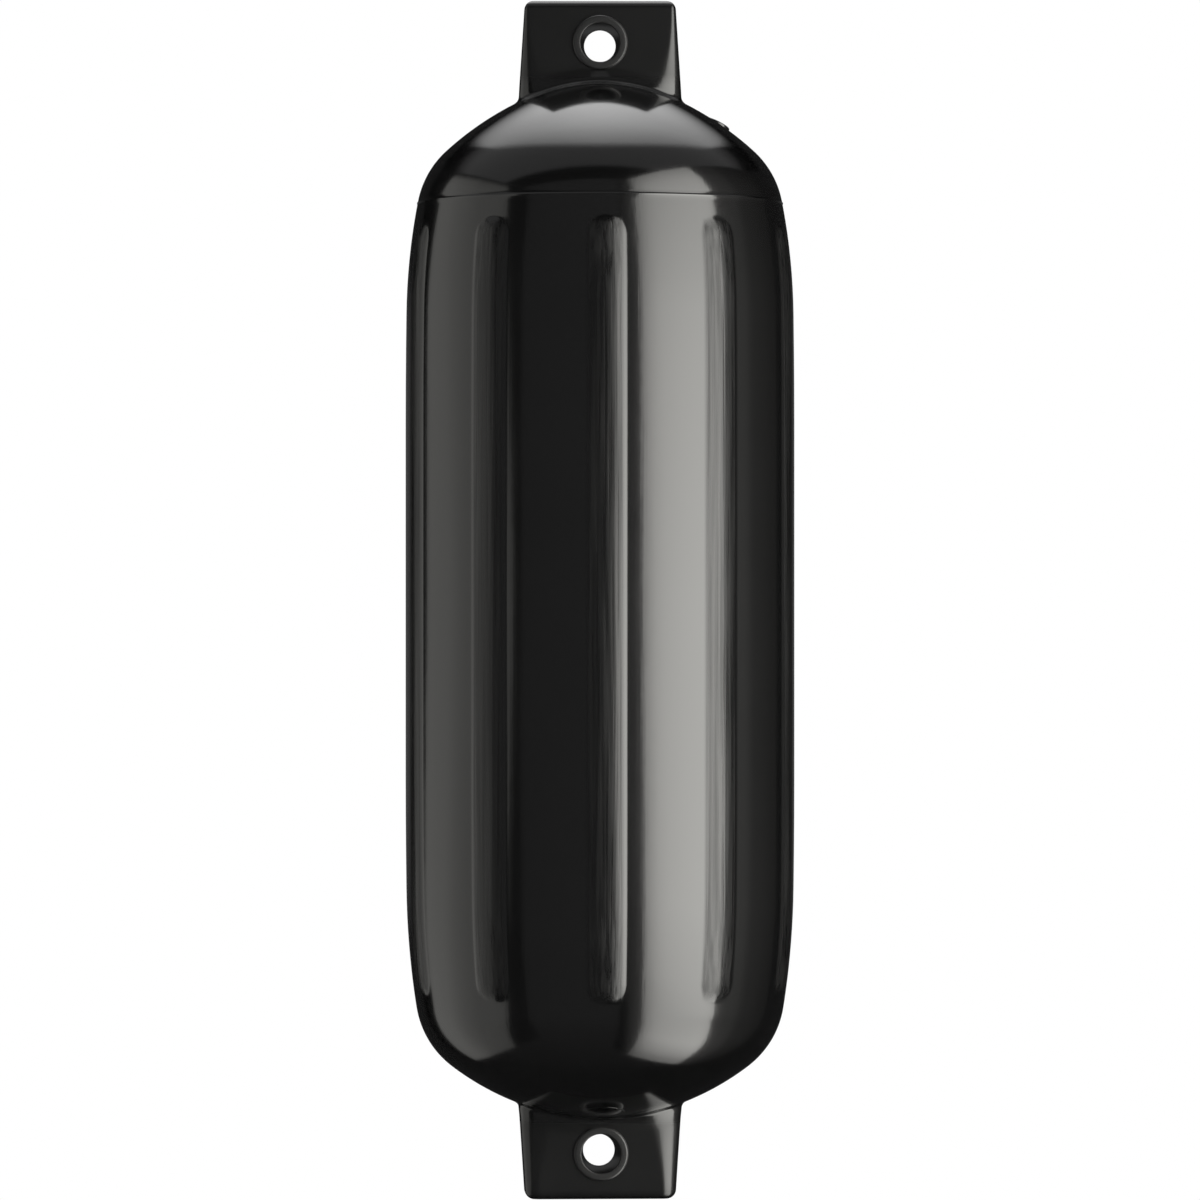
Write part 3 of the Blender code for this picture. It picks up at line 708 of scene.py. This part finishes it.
# %% Streaks 1.7 mm across and 100 mm long, faint between the ribs
stretched = node(tree, "ShaderNodeMapping", {0: place, "Scale": (600, 600, 10)})
streaks = node(tree, "ShaderNodeTexNoise", {"Vector": stretched.outputs[0], "Scale": 1.0, "Detail": 2.0})
strength = node(tree, "ShaderNodeMapRange", {"Value": rib_mask.outputs[0], "To Min": 0.12, "To Max": 1.0})
streak_height = node(tree, "ShaderNodeMath", {0: streaks.outputs[0], 1: strength.outputs[0]},
                     operation="MULTIPLY")

# %% Orange peel, soft dimples 8 mm across, on waves 60 mm long that make the lights' edges wander
peel = node(tree, "ShaderNodeTexNoise", {"Vector": place, "Scale": 120.0, "Detail": 1.0})
wave = node(tree, "ShaderNodeTexNoise", {"Vector": place, "Scale": 16.0, "Detail": 1.0})
wave_bump = node(tree, "ShaderNodeBump", {"Height": wave.outputs[0], "Strength": 1.0, "Distance": 0.00018})
peel_bump = node(tree, "ShaderNodeBump", {"Height": peel.outputs[0], "Strength": 1.0, "Distance": 0.00002,
                                          "Normal": wave_bump.outputs[0]})
streak_bump = node(tree, "ShaderNodeBump", {"Height": streak_height.outputs[0], "Strength": 1.0,
                                            "Distance": 0.00013, "Normal": peel_bump.outputs[0]})
print("bumps: waves, peel and streaks, each laid on the one before")

# %% Vinyl shader
haze = node(tree, "ShaderNodeTexNoise", {"Vector": place, "Scale": 14.0, "Detail": 4.0})
tone = node(tree, "ShaderNodeMix", {"Factor": haze.outputs[0], "A": colour("#131313"),
                                   "B": colour("#181818")}, data_type="RGBA")
# The collars' faces are painted a lighter grey: partly the vinyl's wear, partly a painted sheen for the light
# their faces catch.
worn_grey_and_sheen = node(tree, "ShaderNodeMix", {"Factor": on_collar.outputs[0], "A": tone.outputs[2],
                                     "B": colour("#242424")}, data_type="RGBA")
gloss = node(tree, "ShaderNodeMapRange", {"Value": haze.outputs[0], "From Min": 0.3, "From Max": 0.7,
                                         "To Min": 0.12, "To Max": 0.17})
rough = node(tree, "ShaderNodeMath", {0: worn.outputs[0], 1: 0.3, 2: gloss.outputs[0]},
             operation="MULTIPLY_ADD")
scuffs = node(tree, "ShaderNodeMapRange", {"Value": streaks.outputs[0], "From Min": 0.35, "From Max": 0.65,
                                          "To Min": -0.14, "To Max": 0.14})
rough = node(tree, "ShaderNodeMath", {0: scuffs.outputs[0], 1: rib_mask.outputs[0], 2: rough.outputs[0]},
             operation="MULTIPLY_ADD")
coat = node(tree, "ShaderNodeMath", {0: worn.outputs[0], 1: -0.85, 2: 1.0}, operation="MULTIPLY_ADD")
shader = node(tree, "ShaderNodeBsdfPrincipled", {
    "Base Color": worn_grey_and_sheen.outputs[2], "Roughness": rough.outputs[0], "IOR": 1.54,
    "Coat Weight": coat.outputs[0], "Coat Roughness": 0.10, "Coat IOR": 1.5,
    "Normal": streak_bump.outputs[0], "Coat Normal": streak_bump.outputs[0]})
node(tree, "ShaderNodeOutputMaterial", {"Surface": shader.outputs[0]})
skin.data.materials.clear()
skin.data.materials.append(vinyl)
print("vinyl:", len(tree.nodes), "nodes")

# %% [markdown]
# ### Valve rubber
#
# The valve is soft black rubber. Its surface is matt and slightly grainy, so it looks greyer than the
# vinyl round it and has only a broad, dull highlight.

# %% Rubber material
rubber, tree = new_material("matt black valve rubber")
place = node(tree, "ShaderNodeTexCoord").outputs["Object"]
grain = node(tree, "ShaderNodeTexNoise", {"Vector": place, "Scale": 2500.0, "Detail": 2.0})
tone = node(tree, "ShaderNodeMix", {"Factor": grain.outputs[0], "A": colour("#1C1C1C"),
                                   "B": colour("#272727")}, data_type="RGBA")
bump = node(tree, "ShaderNodeBump", {"Height": grain.outputs[0], "Strength": 1.0, "Distance": 0.00003})
shader = node(tree, "ShaderNodeBsdfPrincipled", {"Base Color": tone.outputs[2], "Roughness": 0.55,
                                                "IOR": 1.52, "Normal": bump.outputs[0]})
node(tree, "ShaderNodeOutputMaterial", {"Surface": shader.outputs[0]})
valve.data.materials.clear()
valve.data.materials.append(rubber)
print("rubber:", len(tree.nodes), "nodes")

# %% [markdown]
# ## The studio
#
# A black, shiny thing shows its surroundings more than its own colour. A studio therefore places large
# softboxes where a highlight is wanted, and black cards everywhere else. Here a tall softbox stands to
# the right, a dimmer one to the left and a little behind, and one hangs overhead. Each is a plane whose
# glow fades towards its edges, as a real diffuser's does. They are hidden from the camera, which would
# otherwise meet them on its way round the fender. The two at the sides show only in reflections, so that
# they don't burn out the floor that they stand on.


# %% A helper for softboxes
def softbox(name, turn, distance, across, along, strength, edges, along_stops):
    """An upright glowing plane that faces the fender.

    Its glow is the product of ramps: one along its height, and one across it for each edge, given as
    (lean, bend, bend_from, stops). An edge leans with the height, and bends further above bend_from
    below the middle, so that its reflection follows the real one.
    """
    deselect()
    bpy.ops.mesh.primitive_plane_add(size=1, location=(0, 0, 0))
    box = bpy.context.object
    box.name = name
    box.data.transform(Matrix.Translation(((across[0] + across[1]) / 2, (along[0] + along[1]) / 2, 0))
                       @ Matrix.Diagonal((across[1] - across[0], along[1] - along[0], 1, 1)))
    box.location = around(CAMERA_TURN + turn, distance)
    box.rotation_euler = (math.pi / 2, 0, CAMERA_TURN + turn)
    material, tree = new_material(name)
    xyz = node(tree, "ShaderNodeSeparateXYZ", {0: node(tree, "ShaderNodeTexCoord").outputs["Object"]})
    profiles = [(xyz.outputs["Y"], along_stops)]
    for lean, bend, bend_from, stops in edges:
        leaned = node(tree, "ShaderNodeMath", {0: xyz.outputs["Y"], 1: lean, 2: xyz.outputs["X"]},
                      operation="MULTIPLY_ADD")
        below = node(tree, "ShaderNodeMath", {0: -bend_from, 1: xyz.outputs["Y"]}, operation="SUBTRACT")
        below = node(tree, "ShaderNodeMath", {0: below.outputs[0], 1: 0.0}, operation="MAXIMUM")
        bent = node(tree, "ShaderNodeMath", {0: below.outputs[0], 1: bend, 2: leaned.outputs[0]},
                    operation="MULTIPLY_ADD")
        profiles.append((bent.outputs[0], stops))
    total = 1.0
    for value, stops in profiles:
        low, high = stops[0][0], stops[-1][0]
        scaled = node(tree, "ShaderNodeMapRange", {"Value": value, "From Min": low, "From Max": high})
        ramp = node(tree, "ShaderNodeValToRGB", {0: scaled.outputs[0]})
        while len(ramp.color_ramp.elements) < len(stops):
            ramp.color_ramp.elements.new(0.5)
        for element, (at, _) in zip(ramp.color_ramp.elements, stops):
            element.position = (at - low) / (high - low)
        for element, (_, level) in zip(ramp.color_ramp.elements, stops):
            element.color = (level, level, level, 1)
        total = node(tree, "ShaderNodeMath", {0: ramp.outputs[0], 1: total}, operation="MULTIPLY").outputs[0]
    scaled = node(tree, "ShaderNodeMath", {0: total, 1: strength}, operation="MULTIPLY")
    emission = node(tree, "ShaderNodeEmission", {"Color": colour("#FFFEF9"), "Strength": scaled.outputs[0]})
    node(tree, "ShaderNodeOutputMaterial", {"Surface": emission.outputs[0]})
    box.data.materials.append(material)
    box.visible_camera = box.visible_diffuse = box.visible_shadow = box.visible_transmission = False
    return box


# %% Softboxes at the sides
right_box = softbox("softbox_right", math.radians(65), 0.9, (-1.2, 1.6), (-2.85, 1.44), 4.65, [
    (0.09, 0.0, 0.0, [(-1.15, 0.0), (-1.0, 0.03), (-0.80, 0.05), (-0.765, 0.5), (-0.70, 0.61), (-0.60, 0.79),
                      (-0.48, 0.90), (-0.30, 0.97), (-0.15, 1.0)]),
    (0.0, -0.4, 0.6, [(0.0, 1.0), (0.125, 0.95), (0.145, 0.08), (0.30, 0.06), (0.45, 0.05), (0.58, 0.026),
                      (0.78, 0.02), (1.1, 0.012), (1.6, 0.008)])],
    [(-2.85, 0.0), (-2.75, 0.2), (-2.18, 0.28), (-1.58, 0.52), (-1.15, 0.72), (-0.55, 0.74), (-0.45, 0.87),
     (-0.25, 1.0), (0.0, 0.99), (0.19, 0.9), (0.32, 0.8), (0.51, 0.7), (0.66, 0.63), (0.85, 0.56),
     (1.08, 0.4), (1.38, 0.3), (1.44, 0.0)])
left_box = softbox("softbox_left", math.radians(-90), 0.9, (-1.1, 0.9), (-1.35, 0.78), 0.57, [
    (0.0, 0.31, 0.0, [(-0.50, 0.0), (-0.46, 0.70), (-0.37, 0.76), (-0.22, 0.86), (-0.10, 0.95), (0.0, 1.0)]),
    (0.4, 0.8, 0.0, [(-0.07, 1.0), (0.06, 0.88), (0.35, 0.72), (0.617, 0.75), (0.76, 0.72), (0.80, 0.0)])],
    [(-1.35, 0.0), (-1.27, 0.8), (-0.5, 1.0), (0.6, 0.97), (0.70, 0.85), (0.78, 0.0)])
print("softboxes:", right_box.name, left_box.name)

# %% Overhead softbox
OVERHEAD_HEIGHT, OVERHEAD_BACK, OVERHEAD_SIZE = 1.2, 0.4, (3.0, 3.2)
FRONT_EDGE_BOW = -0.9                      # the front edge of the glow bows back towards its sides
deselect()
bpy.ops.mesh.primitive_plane_add(size=1, location=(0, 0, 0))
overhead = bpy.context.object
overhead.name = "softbox_overhead"
overhead.data.transform(Matrix.Translation((0, OVERHEAD_BACK, 0)) @ Matrix.Diagonal((*OVERHEAD_SIZE, 1, 1)))
overhead.location = middle + Vector((0, 0, OVERHEAD_HEIGHT))
overhead.rotation_euler = (0, 0, CAMERA_TURN)
material, tree = new_material("softbox_overhead")
xyz = node(tree, "ShaderNodeSeparateXYZ", {0: node(tree, "ShaderNodeTexCoord").outputs["Object"]})
square = node(tree, "ShaderNodeMath", {0: xyz.outputs["X"], 1: xyz.outputs["X"]}, operation="MULTIPLY")
edge = node(tree, "ShaderNodeMath", {0: square.outputs[0], 1: FRONT_EDGE_BOW, 2: xyz.outputs["Y"]},
            operation="MULTIPLY_ADD")
rise = node(tree, "ShaderNodeMapRange", {"Value": edge.outputs[0], "From Min": -0.25, "From Max": 0.35,
                                        "To Max": 2.05}, interpolation_type="SMOOTHSTEP")
spread_out = node(tree, "ShaderNodeMath", {0: square.outputs[0], 1: 4.0, 2: 1.0}, operation="MULTIPLY_ADD")
across = node(tree, "ShaderNodeMath", {0: rise.outputs[0], 1: spread_out.outputs[0]}, operation="DIVIDE")
back = node(tree, "ShaderNodeMapRange", {"Value": xyz.outputs["Y"], "From Min": 1.75, "From Max": 0.65},
            interpolation_type="SMOOTHSTEP")
sides = node(tree, "ShaderNodeMapRange", {"Value": square.outputs[0], "From Min": 0.75 ** 2,
                                         "From Max": 0.65 ** 2}, interpolation_type="SMOOTHSTEP")
glow = node(tree, "ShaderNodeMath", {0: across.outputs[0], 1: back.outputs[0]}, operation="MULTIPLY")
glow = node(tree, "ShaderNodeMath", {0: glow.outputs[0], 1: sides.outputs[0]}, operation="MULTIPLY")
dim = node(tree, "ShaderNodeMapRange", {"Value": xyz.outputs["Y"], "From Min": -0.72, "From Max": -0.60,
                                       "To Max": 0.2})
front_part = node(tree, "ShaderNodeMapRange", {"Value": xyz.outputs["Y"], "From Min": 1.0, "From Max": 0.5})
dim = node(tree, "ShaderNodeMath", {0: dim.outputs[0], 1: front_part.outputs[0]}, operation="MULTIPLY")
total = node(tree, "ShaderNodeMath", {0: glow.outputs[0], 1: dim.outputs[0]}, operation="MAXIMUM")
emission = node(tree, "ShaderNodeEmission", {"Color": colour("#FFFFFF"), "Strength": total.outputs[0]})
node(tree, "ShaderNodeOutputMaterial", {"Surface": emission.outputs[0]})
overhead.data.materials.append(material)
overhead.visible_camera = False
overhead.visible_transmission = False
print("overhead softbox at", round(overhead.location.z, 2), "m")

# %% [markdown]
# ## Black cards glowing with painted light, floor and background
#
# The cards stand as one tent round the softboxes. They are no lamps, but glow dimly: their glow is painted
# light, the dim studio that the fender reflects. The glow is dark grey on the camera's side and straight
# behind, and near black at the sides. Only reflections see them, so they throw no shadow and hide nothing
# from the camera. The floor is pale and keeps the fender's shadow, and fades into the white background
# with distance. Behind everything the world is white for the camera and for reflections, and lights the
# fender only at a plain level.

# %% Black tent, whose glow is painted light
TENT_RADIUS, TENT_HEIGHT = 3.2, 7.0
FRONT_GLOW, SIDE_GLOW, BACK_GLOW = 0.085, 0.012, 0.065
deselect()
bpy.ops.mesh.primitive_cylinder_add(vertices=48, radius=TENT_RADIUS, depth=TENT_HEIGHT, location=middle)
tent = bpy.context.object
tent.name = "glowing_black_cards"
material, tree = new_material("glowing black card")
xyz = node(tree, "ShaderNodeSeparateXYZ", {0: node(tree, "ShaderNodeTexCoord").outputs["Object"]})
# The cards' glow is painted light: dim in front, near black at the sides, and a band of glow behind.
card_glow = node(tree, "ShaderNodeMapRange", {"Value": xyz.outputs["Y"], "From Min": -TENT_RADIUS, "From Max": 1.0,
                                        "To Min": FRONT_GLOW, "To Max": SIDE_GLOW})
low = node(tree, "ShaderNodeMapRange", {"Value": xyz.outputs["Z"], "From Min": -2.8, "From Max": -0.8,
                                       "To Min": 0.6})
card_glow = node(tree, "ShaderNodeMath", {0: card_glow.outputs[0], 1: low.outputs[0]}, operation="MULTIPLY")
behind = node(tree, "ShaderNodeMapRange", {"Value": xyz.outputs["Y"], "From Min": 2.5,
                                          "From Max": TENT_RADIUS, "To Max": BACK_GLOW})
height = node(tree, "ShaderNodeMath", {0: xyz.outputs["Z"]}, operation="ABSOLUTE")
level = node(tree, "ShaderNodeMapRange", {"Value": height.outputs[0], "From Min": 0.42, "From Max": 0.2})
behind = node(tree, "ShaderNodeMath", {0: behind.outputs[0], 1: level.outputs[0]}, operation="MULTIPLY")
card_glow = node(tree, "ShaderNodeMath", {0: card_glow.outputs[0], 1: behind.outputs[0]}, operation="ADD")
emission = node(tree, "ShaderNodeEmission", {"Color": colour("#FFFFFF"), "Strength": card_glow.outputs[0]})
node(tree, "ShaderNodeOutputMaterial", {"Surface": emission.outputs[0]})
tent.data.materials.append(material)
tent.visible_camera = tent.visible_diffuse = tent.visible_shadow = False
tent.visible_transmission = tent.visible_volume_scatter = False
print("black cards", tent.dimensions[:])

# %% Floor
FLOOR_HEIGHT, FLOOR_RADIUS = -1.0, 3.1
deselect()
bpy.ops.mesh.primitive_circle_add(vertices=96, radius=FLOOR_RADIUS, fill_type="NGON",
                                  location=(0, 0, FLOOR_HEIGHT))
floor = bpy.context.object
floor.name = "floor"
material, tree = new_material("pale floor")
paper = node(tree, "ShaderNodeBsdfPrincipled", {"Base Color": colour("#F2F2F0"), "Roughness": 0.7})
glow = node(tree, "ShaderNodeEmission", {"Color": (1, 1, 1, 1), "Strength": 1.0})
length = node(tree, "ShaderNodeVectorMath", {0: node(tree, "ShaderNodeTexCoord").outputs["Object"]},
              operation="LENGTH")
far = node(tree, "ShaderNodeMapRange", {"Value": length.outputs["Value"], "From Min": 0.8, "From Max": 2.6})
ray = node(tree, "ShaderNodeLightPath")
seen = node(tree, "ShaderNodeMath", {0: ray.outputs["Is Camera Ray"], 1: ray.outputs["Is Glossy Ray"]},
            operation="ADD")
seen = node(tree, "ShaderNodeMath", {0: seen.outputs[0], 1: ray.outputs["Is Transmission Ray"]},
            operation="ADD")
share = node(tree, "ShaderNodeMath", {0: far.outputs[0], 1: seen.outputs[0]}, operation="MULTIPLY",
             use_clamp=True)
mixed = node(tree, "ShaderNodeMixShader", {0: share.outputs[0], 1: paper.outputs[0], 2: glow.outputs[0]})
node(tree, "ShaderNodeOutputMaterial", {"Surface": mixed.outputs[0]})
floor.data.materials.append(material)
floor.visible_glossy = False
print("floor at z", FLOOR_HEIGHT)

# %% World and view
PLAIN_LEVEL = 0.8
world = bpy.data.worlds.new("studio")
bpy.context.scene.world = world
world.use_nodes = True
tree = world.node_tree
tree.nodes.clear()
ray = node(tree, "ShaderNodeLightPath")
seen = node(tree, "ShaderNodeMath", {0: ray.outputs["Is Camera Ray"], 1: ray.outputs["Is Glossy Ray"]},
            operation="ADD")
seen = node(tree, "ShaderNodeMath", {0: seen.outputs[0], 1: ray.outputs["Is Transmission Ray"]},
            operation="ADD", use_clamp=True)
level = node(tree, "ShaderNodeMapRange", {"Value": seen.outputs[0], "To Min": PLAIN_LEVEL, "To Max": 1.0})
background = node(tree, "ShaderNodeBackground", {"Color": (1, 1, 1, 1), "Strength": level.outputs[0]})
node(tree, "ShaderNodeOutputWorld", {"Surface": background.outputs[0]})
bpy.context.scene.view_settings.view_transform = "Standard"
print("world: white where it is seen, and", PLAIN_LEVEL, "as a light")
